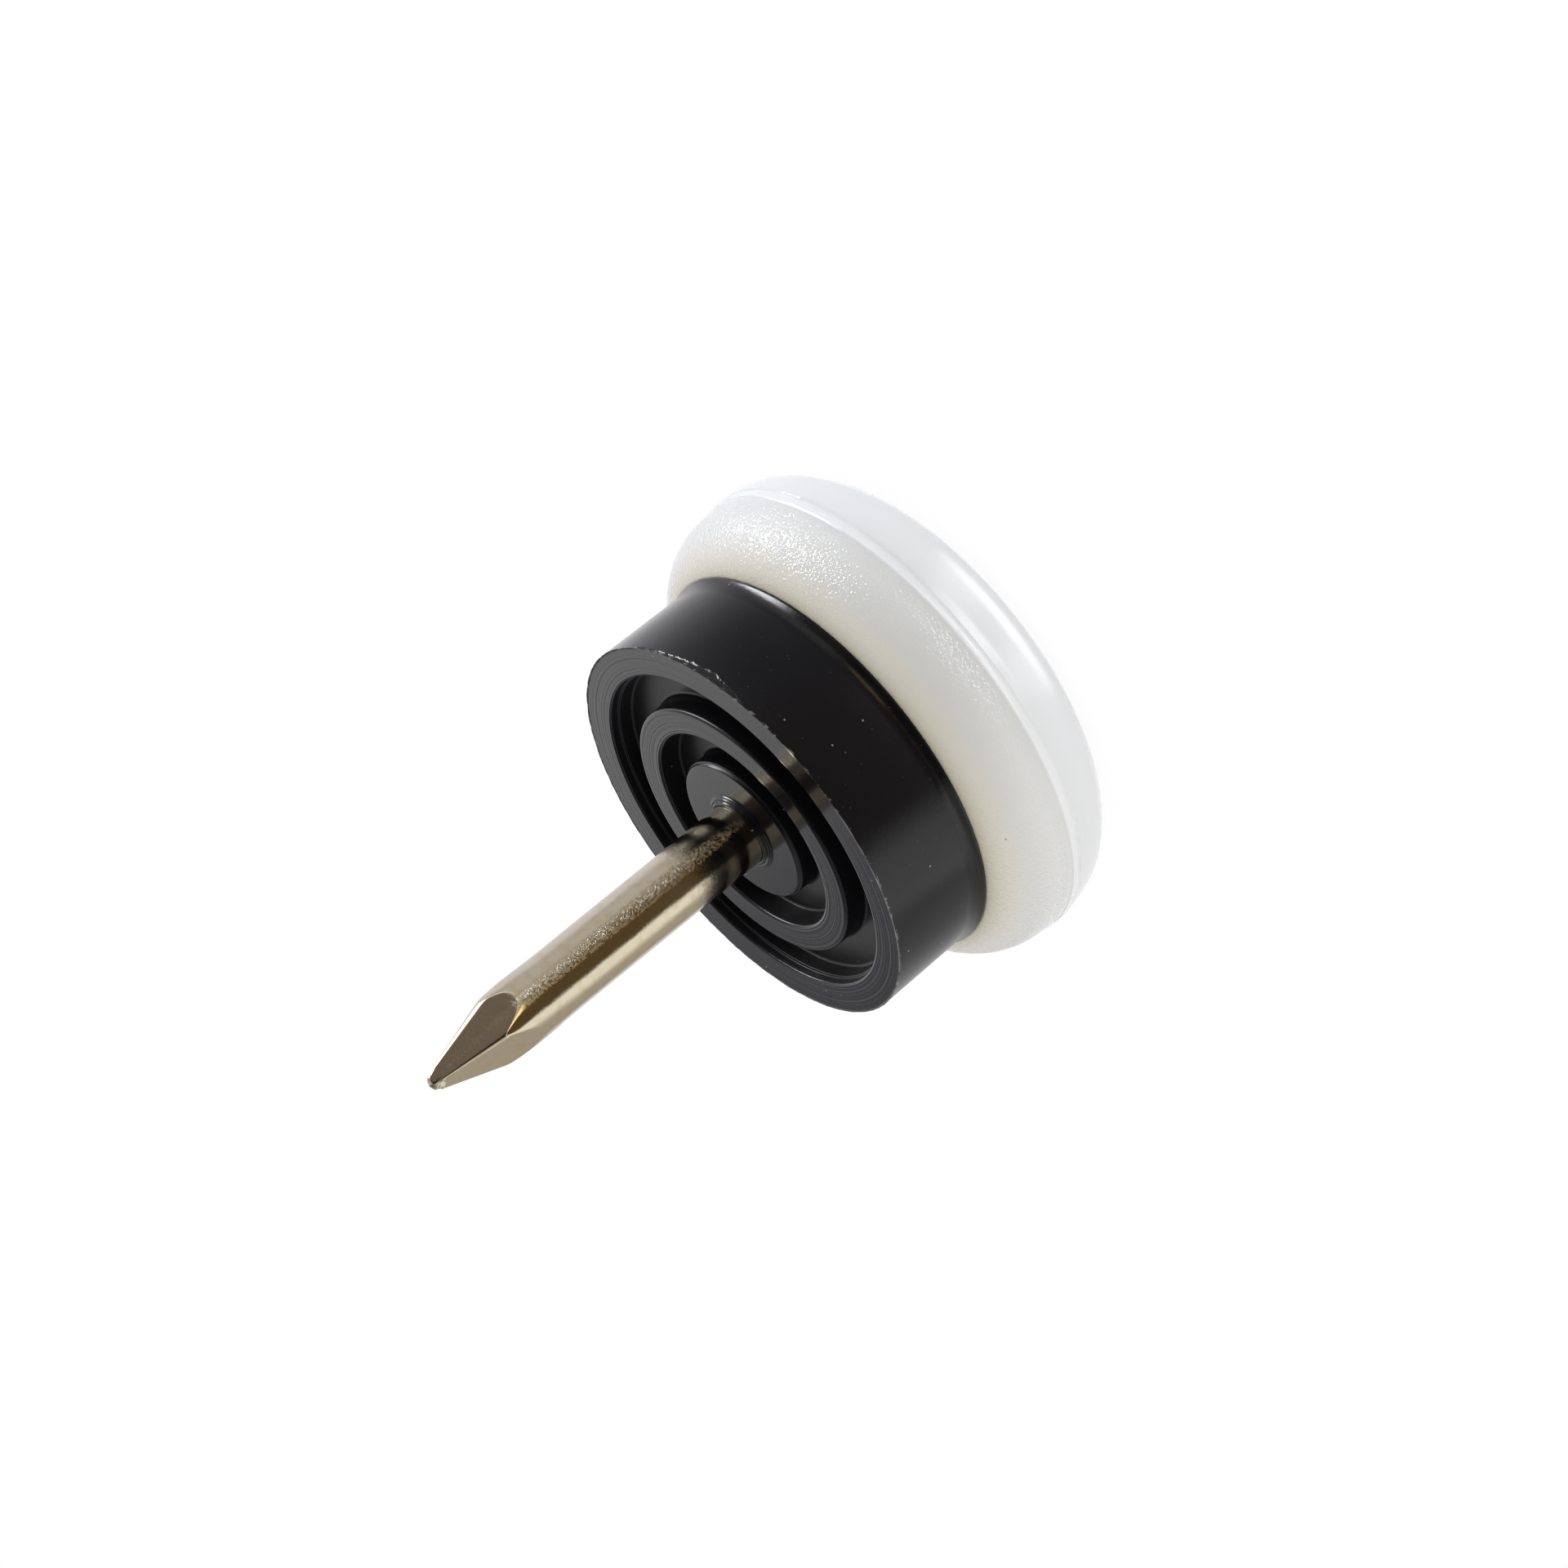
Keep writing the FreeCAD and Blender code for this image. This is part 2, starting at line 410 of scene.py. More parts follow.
off_neck = add_node(tree, "ShaderNodeMapRange", {
    "Value": height, "From Min": lip_top + 1.0, "From Max": lip_top + 4.5, "To Min": 0.4, "To Max": 1.0,
}).outputs["Result"]
for factor in (off_point, off_neck):
    pitted = add_node(tree, "ShaderNodeMath", {0: pitted, 1: factor}, operation="MULTIPLY").outputs[0]
print("pitted stretch of", nickel.name)

# %% [markdown]
# The waves are stretched along the wire, as drawing it through a die leaves them. A slight tarnish makes
# the nickel yellower and less bright in places.

# %% Pits, waves and tarnish
pits = add_node(tree, "ShaderNodeTexNoise", {
    "Vector": point, "Scale": 1 / pit_size, "Detail": 5.0, "Roughness": 0.75,
}).outputs["Fac"]
pits = add_node(tree, "ShaderNodeMapRange", {
    "Value": pits, "From Min": 0.48, "From Max": 0.78,
}).outputs["Result"]
pit_bump = add_node(tree, "ShaderNodeBump", {
    "Height": pits, "Strength": pitted, "Distance": 0.018 * MM,
}).outputs["Normal"]
stretched = add_node(tree, "ShaderNodeMapping", {"Vector": point, "Scale": (1, 1, 0.35)}).outputs["Vector"]
waves = add_node(tree, "ShaderNodeTexNoise", {
    "Vector": stretched, "Scale": 1 / wave_length, "Detail": 2.0,
}).outputs["Fac"]
on_shank = add_node(tree, "ShaderNodeMapRange", {
    "Value": height,
    "From Min": tip_height - 6.0,
    "From Max": tip_height - 4.0,
    "To Min": 0.8,
    "To Max": 0.08,
}).outputs["Result"]
bump = add_node(tree, "ShaderNodeBump", {
    "Height": waves, "Strength": on_shank, "Distance": 0.03 * MM, "Normal": pit_bump,
}).outputs["Normal"]
tarnish = add_node(tree, "ShaderNodeTexNoise", {
    "Vector": point, "Scale": 1 / tarnish_size, "Detail": 4.0,
}).outputs["Fac"]
tone = add_node(tree, "ShaderNodeValToRGB", {"Fac": tarnish})
tone.color_ramp.elements[0].position = 0.28
tone.color_ramp.elements[0].color = linear("#D6C8A6")
tone.color_ramp.elements[1].position = 0.5
tone.color_ramp.elements[1].color = linear("#DDD3BC")
rough = add_node(tree, "ShaderNodeMapRange", {
    "Value": tarnish, "From Min": 0.3, "From Max": 0.7, "To Min": 0.14, "To Max": 0.08,
}).outputs["Result"]
tree.links.new(tone.outputs["Color"], shader.inputs["Base Color"])
tree.links.new(rough, shader.inputs["Roughness"])
tree.links.new(bump, shader.inputs["Normal"])
shader.inputs["Metallic"].default_value = 1.0
print("made", nickel.name)

# %% [markdown]
# ## The outline of a turned piece
#
# A turned piece is drawn as half of its section: corners at a distance from the axis and a height.
# Real moulded corners are never sharp, so each corner may have a rounding, and this helper replaces it
# by an arc of short steps. Written as a list, the corners stay easy to read and to change.
# Each long straight side also gets a point close to both of its ends. Smooth shading then bends only in
# the roundings, and a level face looks level.

# %% Round the corners of an outline
def rounded(corners, closed):
    """Points of an outline whose corners are (distance, height) or (distance, height, rounding)."""
    places = [Vector(corner[:2]) for corner in corners]
    points = []
    for number, corner in enumerate(corners):
        place = places[number]
        rounding = corner[2] if len(corner) > 2 else 0.0
        if not rounding or (not closed and number in (0, len(corners) - 1)):
            points.append(place)
            continue
        back = (places[number - 1] - place).normalized()
        ahead = (places[(number + 1) % len(places)] - place).normalized()
        half_turn = (math.pi - back.angle(ahead)) / 2
        reach = rounding * math.tan(half_turn)
        centre = place + (back + ahead).normalized() * (rounding / math.cos(half_turn))
        first = place + back * reach - centre
        last = place + ahead * reach - centre
        step_angle = math.radians(5 if rounding > 1 else 14)
        steps = max(2, math.ceil(2 * half_turn / step_angle))
        points += [centre + rounding * first.slerp(last, step / steps) for step in range(steps + 1)]
    return points


def supported(points, closed, long_side=0.32, gap=0.02):
    """The same outline with an extra point a small gap from both ends of each long side."""
    result = []
    for number, place in enumerate(points):
        result.append(place)
        if number == len(points) - 1 and not closed:
            break
        side = points[(number + 1) % len(points)] - place
        if side.length > long_side:
            step = side.normalized() * gap
            result += [place + step, place + side - step]
    return result


print("outline helpers ready")

# %% [markdown]
# ## A lathe made of nodes
#
# Both plastic pieces follow one rule, an outline swept round an axis, so one Geometry Nodes tree makes
# them. The Spin tool would also do it, but the tree can do more on the way: it pushes the points of a
# mould's seam out unevenly, which is the thin flash that squeezes out between two mould halves, and it
# sets one mould half a little to the side.

# %% The turning tree
def turning_tree():
    """A tree that turns an outline curve round the Z axis and roughens one edge of it."""
    tree = bpy.data.node_groups.new("turned_piece", "GeometryNodeTree")
    tree.interface.new_socket("Piece", in_out="OUTPUT", socket_type="NodeSocketGeometry")
    tree.interface.new_socket("Outline", in_out="INPUT", socket_type="NodeSocketGeometry")
    for name in (
        "Turning Radius",
        "Flash Radius",
        "Flash Height",
        "Flash Out",
        "Flash Up",
        "Flash Grain",
        "Split Height",
        "Seed",
    ):
        tree.interface.new_socket(name, in_out="INPUT", socket_type="NodeSocketFloat")
    tree.interface.new_socket("Steps Around", in_out="INPUT", socket_type="NodeSocketInt")
    tree.interface.new_socket("Mould Shift", in_out="INPUT", socket_type="NodeSocketVector")
    tree.interface.new_socket("Material", in_out="INPUT", socket_type="NodeSocketMaterial")
    given = add_node(tree, "NodeGroupInput").outputs

    circle = add_node(tree, "GeometryNodeCurvePrimitiveCircle", {
        "Resolution": given["Steps Around"], "Radius": given["Turning Radius"],
    })
    turned = add_node(tree, "GeometryNodeCurveToMesh", {
        "Curve": circle.outputs["Curve"], "Profile Curve": given["Outline"],
    })
    closed = add_node(tree, "GeometryNodeMergeByDistance", {
        "Geometry": turned.outputs["Mesh"], "Distance": 0.001 * MM,
    })

    place = add_node(tree, "GeometryNodeInputPosition").outputs["Position"]
    level = add_node(tree, "ShaderNodeVectorMath", {0: place, 1: (1, 1, 0)}, operation="MULTIPLY").outputs[0]
    outward = add_node(tree, "ShaderNodeVectorMath", {0: level}, operation="NORMALIZE").outputs[0]
    radius = add_node(tree, "ShaderNodeVectorMath", {0: level}, operation="LENGTH").outputs["Value"]
    height = add_node(tree, "ShaderNodeSeparateXYZ", {"Vector": place}).outputs["Z"]

    # The flash is where the radius and the height both pass a limit
    far_out, high_up = [
        add_node(tree, "FunctionNodeCompare", {0: value, 1: limit}, operation="GREATER_THAN").outputs[0]
        for value, limit in ((radius, given["Flash Radius"]), (height, given["Flash Height"]))
    ]
    on_flash = add_node(tree, "FunctionNodeBooleanMath", {0: far_out, 1: high_up}).outputs[0]

    jagged = add_node(tree, "ShaderNodeTexNoise", {
        "Vector": place, "W": given["Seed"], "Scale": given["Flash Grain"], "Detail": 4.0, "Roughness": 0.7,
    }, noise_dimensions="4D").outputs["Fac"]
    uneven = add_node(tree, "ShaderNodeMapRange", {
        "Value": jagged, "From Min": 0.35, "From Max": 0.75,
    }).outputs["Result"]
    out, up = [
        add_node(tree, "ShaderNodeMath", {0: uneven, 1: given[name]}, operation="MULTIPLY").outputs[0]
        for name in ("Flash Out", "Flash Up")
    ]
    rise = add_node(tree, "ShaderNodeCombineXYZ", {"Z": up}).outputs[0]
    push = add_node(tree, "ShaderNodeVectorMath", {0: outward, "Scale": out}, operation="SCALE").outputs[0]
    move = add_node(tree, "ShaderNodeVectorMath", {0: push, 1: rise}).outputs[0]
    flashed = add_node(tree, "GeometryNodeSetPosition", {
        "Geometry": closed.outputs["Geometry"], "Selection": on_flash, "Offset": move,
    })

    below = add_node(tree, "FunctionNodeCompare", {
        0: height, 1: given["Split Height"],
    }, operation="LESS_THAN").outputs[0]
    shifted = add_node(tree, "GeometryNodeSetPosition", {
        "Geometry": flashed.outputs["Geometry"], "Selection": below, "Offset": given["Mould Shift"],
    })
    real = add_node(tree, "GeometryNodeRealizeInstances", {"Geometry": shifted.outputs["Geometry"]})
    smooth = add_node(tree, "GeometryNodeSetShadeSmooth", {"Geometry": real.outputs["Geometry"]})
    coated = add_node(tree, "GeometryNodeSetMaterial", {
        "Geometry": smooth.outputs["Geometry"], "Material": given["Material"],
    })
    add_node(tree, "NodeGroupOutput", {"Piece": coated.outputs["Geometry"]})
    return tree


turning = turning_tree()
print("turning tree has", len(turning.nodes), "nodes")

# %% [markdown]
# The tree is run on a curve object and its result is kept as a plain mesh. The faces of a swept curve can
# come out inside out, so they are turned outwards, and edges that bend sharply are marked so that the
# shading does not smear over them. The film and the nail below are finished by the same helper.

# %% Run a tree and keep a plain mesh
def finish_piece(name, work, mesh, crease):
    """Make a piece of a worked mesh, with its faces outwards and sharp edges past the crease angle."""
    bmesh.ops.recalc_face_normals(work, faces=work.faces)
    work.to_mesh(mesh)
    work.free()
    mesh.shade_smooth()
    mesh.set_sharp_from_angle(angle=math.radians(crease))
    print(name, "has", len(mesh.polygons), "faces")
    return add_object(name, mesh)


def plain_piece(name, maker):
    """Turn the evaluated result of an object with a node tree into a plain piece, and remove its maker."""
    graph = bpy.context.evaluated_depsgraph_get()
    mesh = bpy.data.meshes.new_from_object(maker.evaluated_get(graph))
    bpy.data.objects.remove(maker)
    mesh.name = name
    work = bmesh.new()
    work.from_mesh(mesh)
    return finish_piece(name, work, mesh, crease=32)


def run_tree(maker, tree, values):
    """Put a node tree on an object and set its named inputs by their identifiers."""
    modifier = maker.modifiers.new(tree.name, "NODES")
    modifier.node_group = tree
    for socket in tree.interface.items_tree:
        if socket.in_out == "INPUT" and socket.name in values:
            modifier[socket.identifier] = values[socket.name]


def turn_piece(name, corners, closed, values):
    """Turn an outline in millimetres into a piece. The curve's X is counted from the turning radius."""
    curve = bpy.data.curves.new(name + "_outline", "CURVE")
    curve.dimensions = "3D"
    spline = curve.splines.new("POLY")
    points = supported(rounded(corners, closed), closed)
    spline.points.add(len(points) - 1)
    for target, place in zip(spline.points, points):
        target.co = (place.x * MM - values["Turning Radius"], -place.y * MM, 0, 1)
    spline.use_cyclic_u = closed
    maker = add_object(name + "_maker", curve)
    run_tree(maker, turning, values)
    return plain_piece(name, maker)


print("lathe ready")

# %% [markdown]
# ## The base
#
# The base is a shallow dish with a wide flat bottom, a round lower edge, a narrow upright land where the
# two mould halves met, and a sloping shoulder. Inside is the pocket that the insert snaps into, which
# nobody sees, but the base is still closed all round, as the real one is. A little flash stands on the
# land, and the lower mould half sat a touch to one side.

# %% Make the base
lower_r = base_r - 0.02
land_top = parting_height + land_height
pocket_r = flange_r - 1.81
base_floor = nail_foot
ridge_middle = seat_height - 1.9
base_outline = [
    (0, 0),
    (lower_r, 0, 3.4),
    (base_r, parting_height, 0.04),
    (base_r - 0.02, parting_height + 0.14, 0.08),
    (base_r - 0.02, land_top - 0.16, 0.08),
    (base_r + 0.02, land_top - 0.04, 0.04),
    (base_r - 0.02, land_top + 0.05, 0.03),
    (base_r - 0.20, 6.62, 3.0),
    (flange_r - 0.05, seat_height, 0.08),
    (pocket_r, seat_height, 0.3),
    (pocket_r, ridge_middle + 0.6),
    (pocket_r + 0.35, ridge_middle, 0.15),
    (pocket_r, ridge_middle - 0.6),
    (pocket_r, base_floor),
    (0, base_floor),
]
glide_base = turn_piece("white_base", base_outline, False, {
    "Turning Radius": base_r * MM,
    "Steps Around": 420,
    "Flash Radius": (base_r - 0.010) * MM,
    "Flash Height": (parting_height - 0.01) * MM,
    "Flash Out": 0.03 * MM,
    "Flash Grain": 0.7 / MM,
    "Split Height": (parting_height - 0.03) * MM,
    "Mould Shift": to_right * (0.06 * MM),
    "Seed": 3.0,
    "Material": white_plastic,
})

# %% [markdown]
# ## The insert
#
# The insert is a drum with three level faces on top, a rim, a ring and a boss, which the leg comes down
# on, and grooves between them that let the plastic give. The rim has a small ledge inside, and part of its
# outer edge is torn, where the insert was broken off its runner. A thin rippled lip hugs the nail.

# %% Make the insert
groove_floor = glide_height - 1.2
plug_r = flange_r - 1.86
hole_r = nail_r + 0.02
nail_head_top = nail_foot + 1.2
rim_inner_r = rim_r - 1.53
ledge_r = rim_inner_r - 0.12
ledge_height = glide_height - 0.45
ring_outer_r = rim_r - 3.34
ring_inner_r = rim_r - 4.72
boss_r = rim_r - 6.28
insert_outline = [
    (hole_r + 0.2, nail_head_top),
    (nail_head_r + 0.1, nail_head_top),
    (nail_head_r + 0.1, plug_bottom),
    (plug_r, plug_bottom, 0.5),
    (plug_r, ridge_middle - 0.6),
    (plug_r + 0.35, ridge_middle, 0.15),
    (plug_r, ridge_middle + 0.6),
    (plug_r, seat_height),
    (flange_r - 0.09, seat_height, 0.03),
    (flange_r - 0.09, seat_height + 0.12, 0.05),
    (flange_r - 0.24, seat_height + 0.50, 1.9),
    (rim_r, glide_height - 0.05),
    (rim_r - 0.005, glide_height),
    (rim_r - 0.07, glide_height),
    (rim_inner_r, glide_height, 0.10),
    (rim_inner_r, ledge_height, 0.05),
    (ledge_r, ledge_height, 0.04),
    (ledge_r, groove_floor, 0.15),
    (ring_outer_r, groove_floor, 0.15),
    (ring_outer_r, glide_height, 0.14),
    (ring_inner_r, glide_height, 0.13),
    (ring_inner_r, groove_floor, 0.15),
    (boss_r, groove_floor, 0.15),
    (boss_r, glide_height - 0.18, 0.03),
    (boss_r - 0.05, glide_height - 0.14, 0.02),
    (boss_r - 0.12, glide_height, 0.05),
    (hole_r + 0.39, glide_height, 0.02),
    (hole_r + 0.36, glide_height + 0.07, 0.02),
    (hole_r + 0.29, glide_height + 0.07, 0.02),
    (hole_r + 0.25, glide_height + 0.15, 0.02),
    (hole_r + 0.17, glide_height + 0.14, 0.02),
    (hole_r + 0.12, lip_top, 0.03),
    (hole_r, lip_top, 0.02),
]
cushion_insert = turn_piece("black_insert", insert_outline, True, {
    "Turning Radius": rim_r * MM,
    "Steps Around": 460,
    "Flash Radius": (rim_r - 0.02) * MM,
    "Flash Height": (glide_height - 0.005) * MM,
    "Flash Out": 0.045 * MM,
    "Flash Up": 0.02 * MM,
    "Flash Grain": 1.9 / MM,
    "Split Height": -MM,
    "Seed": 7.0,
    "Material": black_plastic,
})

# %% [markdown]
# On that torn stretch a thin film of plastic is folded over the edge and down the wall. It is a strip whose
# width changes along the rim, widest a third of the way round to the right, and its free edge is ragged and
# stands off a little. Each section is a closed loop of points, so the film has a thickness.

# %% Make the torn film
film_widths = (
    (24, 0.02),
    (28, 0.16),
    (33, 0.30),
    (38, 0.42),
    (45, 0.29),
    (52, 0.18),
    (60, 0.10),
    (67, 0.02),
)
film_steps = 160


def film_section(turn):
    """The closed section of the film at a turn from the front, in degrees: distances and heights."""
    for (low, low_width), (high, high_width) in zip(film_widths, film_widths[1:]):
        if low <= turn <= high:
            width = low_width + (high_width - low_width) * (turn - low) / (high - low)
    ragged = noise.noise((turn * 0.5, 2.0, 5.0)) + 0.4 * noise.noise((turn * 1.7, 7.0, 1.0))
    width *= 1 + 0.35 * ragged
    lift = 0.05 + 0.04 * noise.noise((turn * 0.3, 4.0, 9.0))
    fold = 0.012 * noise.noise((turn * 0.4, 8.0, 3.0))
    return [
        (rim_r - 0.10, glide_height + 0.012),
        (rim_r + 0.02, glide_height + 0.012 + fold),
        (rim_r + 0.03 + fold, glide_height - 0.3 * width),
        (rim_r + 0.02 - fold, glide_height - 0.7 * width),
        (rim_r + 0.01 + lift, glide_height - width),
        (rim_r - 0.01 + lift, glide_height - width),
        (rim_r - 0.02, glide_height - 0.7 * width),
        (rim_r - 0.10, glide_height - 0.02),
    ]


work = bmesh.new()
loops = []
for step in range(film_steps + 1):
    turn = film_widths[0][0] + (film_widths[-1][0] - film_widths[0][0]) * step / film_steps
    way = front_turn + math.radians(turn)
    outward = Vector((math.cos(way), math.sin(way), 0))
    loops.append([work.verts.new((outward * r + to_top * z) * MM) for r, z in film_section(turn)])
for loop, after in zip(loops, loops[1:]):
    for number in range(len(loop)):
        work.faces.new((loop[number - 1], loop[number], after[number], after[number - 1]))
work.faces.new(loops[0])
work.faces.new(loops[-1])
torn_film = finish_piece("torn_film", work, bpy.data.meshes.new("torn_film"), crease=50)
torn_film.data.materials.append(black_plastic)

# %% [markdown]
# ## The nail
#
# A wire nail gets its point from two pairs of dies that pinch the wire, which leaves four slanted flats,
# slightly rounded ridges between them, and a small bulge where the metal was squeezed aside. Cutting a
# cylinder with four planes would give knife-sharp edges. Here every ring of points asks how far out the
# wire and the four flats each allow, and takes a soft minimum of them, so all edges come out rounded.

# %% The nail's rule
point_length = 5.35
tip_half = 0.27
flats = [math.radians(turn) for turn in (0, 90, 180, 270)]
worn_ridge = math.radians(-45)


def soft_least(values, sharpness):
    """A minimum of positive lengths that blends them where they are nearly equal."""
    return sum(value ** -sharpness for value in values) ** (-1 / sharpness)


def nail_radius(turn, height):
    """How far the nail reaches from its axis at a turn and a height, from its neck to its tip."""
    below_tip = tip_height - height
    half_width = tip_half + (nail_r - tip_half) * below_tip / point_length
    across = [math.cos(turn - flat) for flat in flats]
    worn = max(math.cos(turn - worn_ridge), 0) ** 8
    pinched = soft_least([half_width / share for share in across if share > 0.05], 16 - 10 * worn)
    bulge = math.exp(-((below_tip - 5.5) / 1.3) ** 2) * math.sin(2 * turn) ** 2
    wire = nail_r + 0.07 * bulge
    reach = soft_least([pinched, wire], 70)
    if below_tip < 0.4:
        blunt = 0.50 * math.sqrt(max(1 - (1 - below_tip / 0.4) ** 2, 0)) + 1e-4
        reach = soft_least([reach, blunt], 5)
    return reach


def point_start(turn):
    """The height at which the flats cut into the wire at this turn."""
    across = max(math.cos(turn - flat) for flat in flats)
    return tip_height - point_length * (nail_r * across - tip_half) / (nail_r - tip_half)


print("point starts between", round(point_start(0), 2), "and", round(point_start(math.pi / 4), 2))

# %% [markdown]
# The rings of points follow the edge of the flats instead of lying level, and they crowd together at that
# edge and at the tip. The columns crowd at the ridges. So the roundings get many points and the plain
# shank few.

# %% Make the nail
columns = []
for flat in flats:
    columns += [flat + math.radians(45) * math.sin(math.radians(step * 5 - 90)) for step in range(36)]
head_rings = [
    (nail_head_r - 0.2, nail_foot),
    (nail_head_r - 0.06, nail_foot + 0.06),
    (nail_head_r, nail_foot + 0.2),
    (nail_head_r, nail_head_top - 0.2),
    (nail_head_r - 0.06, nail_head_top - 0.06),
    (nail_head_r - 0.2, nail_head_top),
    (nail_r + 0.2, nail_head_top),
]
near_edge = [-0.5, -0.3, -0.18, -0.1, -0.05, 0, 0.05, 0.1, 0.18, 0.3, 0.5]
shank_steps = 30
point_steps = 27
rings = []
for radius, height in head_rings:
    rings.append([(radius, turn, height) for turn in columns])
levels = []
for step in range(shank_steps + 1):
    levels.append([lip_top + (point_start(turn) - 0.7 - lip_top) * step / shank_steps for turn in columns])
for offset in near_edge:
    levels.append([point_start(turn) + offset for turn in columns])
for step in range(1, point_steps):
    share = math.sin(math.radians(90) * step / point_steps)
    firsts = [point_start(turn) + near_edge[-1] for turn in columns]
    levels.append([first + (tip_height - first) * share for first in firsts])
for heights in levels:
    rings.append([(nail_radius(turn, height), turn, height) for turn, height in zip(columns, heights)])

work = bmesh.new()
made = []
for ring in rings:
    made.append([work.verts.new(Vector((r * math.cos(t), r * math.sin(t), z)) * MM) for r, t, z in ring])
for lower, upper in zip(made, made[1:]):
    for number in range(len(columns)):
        after = (number + 1) % len(columns)
        work.faces.new((lower[number], lower[after], upper[after], upper[number]))
for ring, height in ((made[0], nail_foot), (made[-1], tip_height)):
    pole = work.verts.new((0, 0, height * MM))
    for number in range(len(columns)):
        work.faces.new((ring[number], ring[(number + 1) % len(columns)], pole))
nail = finish_piece("pointed_nail", work, bpy.data.meshes.new("nail_with_point"), crease=40)
nail.data.materials.append(nickel)

# %% [markdown]
# ## Join the pieces to the CAD model
#
# Each piece moves with the one body that the part has and stands for a CAD node, which is then hidden.

# %% Ride and replace
for piece, node, slot in (
    (glide_base, "glide_base", "white_polyethylene"),
    (cushion_insert, "cushion_insert", "black_plastic"),
    (nail, "nail", "nickel_plated_steel"),
):
    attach(piece, "root")
    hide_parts(node)
    print(piece.name, "stands for", node)
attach(torn_film, "root")

# %% [markdown]
# ## The floor
#
# The part stands on a light table, a white sheet lit softly from below, which the camera should see as
# clean white with a faint shadow. The sheet glows for the camera and for reflections, and for all other
# light it is pale paper with a weak glow, which lifts the shade under the round lower edge.

# %% Tones that change round the part
def tones_round(tree, direction, stops):
    """Colours that change with the turn from the camera's side, positive to its right, in degrees."""
    split = add_node(tree, "ShaderNodeSeparateXYZ", {"Vector": direction}).outputs
    turn = add_node(tree, "ShaderNodeMath", {0: split["Y"], 1: split["X"]}, operation="ARCTAN2").outputs[0]
    off = add_node(tree, "ShaderNodeMath", {0: turn, 1: front_turn}, operation="SUBTRACT").outputs[0]
    off = add_node(tree, "ShaderNodeMath", {0: off, 1: math.pi, 2: -math.pi}, operation="WRAP").outputs[0]
    share = add_node(tree, "ShaderNodeMapRange", {
        "Value": off, "From Min": -math.pi, "From Max": math.pi,
    }).outputs["Result"]
    ramp = add_node(tree, "ShaderNodeValToRGB", {"Fac": share})
    elements = ramp.color_ramp.elements
    while len(elements) < len(stops):
        elements.new(1.0)
    for element, (degrees, colour) in zip(elements, stops):
        element.position = (degrees + 180) / 360
    for element, (degrees, colour) in zip(elements, stops):
        element.color = (*colour, 1)
    return ramp.outputs["Color"]


def window(start, full, fading, end):
    """Stops that are black all round but white in one stretch, with soft ends."""
    black = (0, 0, 0)
    white = (1, 1, 1)
    return [(-180, black), (start, black), (full, white), (fading, white), (end, black), (180, black)]


print("tone helpers ready")

# %% [markdown]
# The weak glow is strongest straight in front of the part. It fades to the sides and with the distance,
# and it stops under the part, so that the base keeps its dark foot.

# %% Floor
glow_stops = [
    (-180, (0.16, 0.16, 0.16)),
    (-75, (0.16, 0.16, 0.16)),
    (-48, (0.46, 0.46, 0.46)),
    (-8, (0.73, 0.73, 0.74)),
    (8, (0.73, 0.73, 0.74)),
    (48, (0.34, 0.34, 0.34)),
    (75, (0.14, 0.14, 0.14)),
    (180, (0.14, 0.14, 0.14)),
]
floor_reach = 1.6
paper_gap = 2e-5
floor_mesh = bpy.data.meshes.new("floor")
floor_mesh.from_pydata([
    (x * floor_reach, y * floor_reach, -paper_gap) for x, y in ((-1, -1), (1, -1), (1, 1), (-1, 1))
], [], [(0, 1, 2, 3)])
floor = add_object("floor", floor_mesh)
paper = bpy.data.materials.new("white_paper")
tree = empty_tree(paper)
ray = add_node(tree, "ShaderNodeLightPath").outputs
seen = ray["Is Camera Ray"]
for kind in ("Is Glossy Ray", "Is Transmission Ray"):
    seen = add_node(tree, "ShaderNodeMath", {0: seen, 1: ray[kind]}, operation="MAXIMUM").outputs[0]
matt = add_node(tree, "ShaderNodeBsdfDiffuse", {"Color": linear("#DDDDDD")}).outputs[0]
place = add_node(tree, "ShaderNodeTexCoord").outputs["Object"]
radius = add_node(tree, "ShaderNodeVectorMath", {0: place}, operation="LENGTH").outputs["Value"]
near = add_node(tree, "ShaderNodeMapRange", {
    "Value": radius, "From Min": 0.030, "From Max": 0.018,
}).outputs["Result"]
clear = add_node(tree, "ShaderNodeMapRange", {
    "Value": radius, "From Min": 0.0105, "From Max": 0.0135,
}).outputs["Result"]
weak_glow = add_node(tree, "ShaderNodeMix", {
    0: near, 6: (0.15, 0.15, 0.15, 1), 7: tones_round(tree, place, glow_stops),
}, data_type="RGBA").outputs[2]
weak_glow = add_node(tree, "ShaderNodeEmission", {"Color": weak_glow, "Strength": clear}).outputs[0]
matt = add_node(tree, "ShaderNodeAddShader", {0: matt, 1: weak_glow}).outputs[0]
dim = add_node(tree, "ShaderNodeBsdfDiffuse", {"Color": (0.08, 0.08, 0.08, 1)}).outputs[0]
glow = add_node(tree, "ShaderNodeEmission", {"Strength": 0.95}).outputs[0]
bright = add_node(tree, "ShaderNodeAddShader", {0: dim, 1: glow}).outputs[0]
mixed = add_node(tree, "ShaderNodeMixShader", {0: seen, 1: matt, 2: bright}).outputs[0]
add_node(tree, "ShaderNodeOutputMaterial", {"Surface": mixed})
floor_mesh.materials.append(paper)
print("floor laid")

